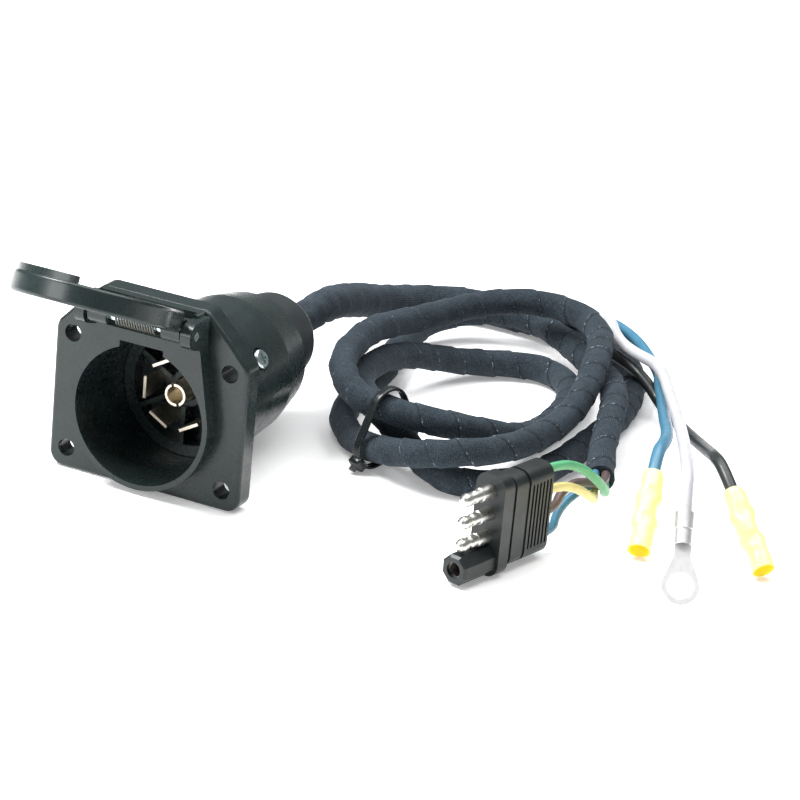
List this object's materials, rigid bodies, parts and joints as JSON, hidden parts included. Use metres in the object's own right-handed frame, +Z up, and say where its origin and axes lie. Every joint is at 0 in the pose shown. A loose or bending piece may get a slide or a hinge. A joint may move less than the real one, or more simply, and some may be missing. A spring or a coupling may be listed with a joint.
{
  "type": "trailer wiring connector",
  "caption": "Flange-mounted trailer light socket with a spring lid, a taped wiring harness, a flat plug and crimped feed wires.",
  "frame": {"origin": "centre of the four flange bolts, on the flange's rear face", "axes": "+X to the right seen from the front, +Y to the rear along the socket axis, +Z up"},
  "size_m": [0.232, 0.2912, 0.091],
  "materials": {
    "housing_plastic": "moulded charcoal nylon with a fine grain",
    "contact_metal": "nickel-washed brass",
    "pin_metal": "turned brass",
    "tinned_copper": "bright tin plate",
    "connector_nylon": "translucent nylon",
    "screw_steel": "zinc plated",
    "spring_steel": "yellow zinc plated wire",
    "seal_rubber": "soft rubber",
    "plug_rubber": "moulded rubber",
    "grommet_rubber": "moulded rubber",
    "cloth_tape": "spiral wound cloth tape",
    "tie_nylon": "glossy nylon",
    "blue_jacket": "satin PVC",
    "white_jacket": "satin PVC",
    "black_jacket": "satin PVC",
    "green_jacket": "satin PVC",
    "yellow_jacket": "satin PVC",
    "brown_jacket": "satin PVC"
  },
  "bodies": {
    "socket_and_harness": {"blade_contact_1": "contact_metal", "blade_contact_2": "contact_metal", "blade_contact_3": "contact_metal", "blade_contact_4": "contact_metal", "blade_contact_5": "contact_metal", "blade_contact_6": "contact_metal", "branch_sleeve": "cloth_tape", "breakout_wrap": "cloth_tape", "butt_connector_black": "connector_nylon", "butt_connector_blue": "connector_nylon", "cable_tie": "tie_nylon", "centre_contact": "contact_metal", "connector_barrel_black": "tinned_copper", "connector_barrel_blue": "tinned_copper", "contact_insert": "housing_plastic", "cord_grommet": "grommet_rubber", "flange_housing": "housing_plastic", "hinge_pin": "screw_steel", "housing_screw_1": "screw_steel", "housing_screw_2": "screw_steel", "lid_spring": "spring_steel", "loose_wire_black": "black_jacket", "loose_wire_blue": "blue_jacket", "loose_wire_white": "white_jacket", "plug_body": "plug_rubber", "plug_pin_1": "pin_metal", "plug_pin_2": "pin_metal", "plug_pin_3": "pin_metal", "plug_socket_contact": "pin_metal", "plug_wire_blue": "blue_jacket", "plug_wire_brown": "brown_jacket", "plug_wire_green": "green_jacket", "plug_wire_yellow": "yellow_jacket", "rear_cover": "housing_plastic", "ring_terminal": "tinned_copper", "trunk_sleeve": "cloth_tape"},
    "lid_assembly": {"lid": "housing_plastic", "lid_seal": "seal_rubber"}
  },
  "joints": [
    {"name": "lid_hinge", "type": "hinge", "parent": "socket_and_harness", "child": "lid_assembly", "pos_m": [0, -0.017, 0.0335], "axis": [1, 0, 0], "range_deg": [0, 115]}
  ]
}
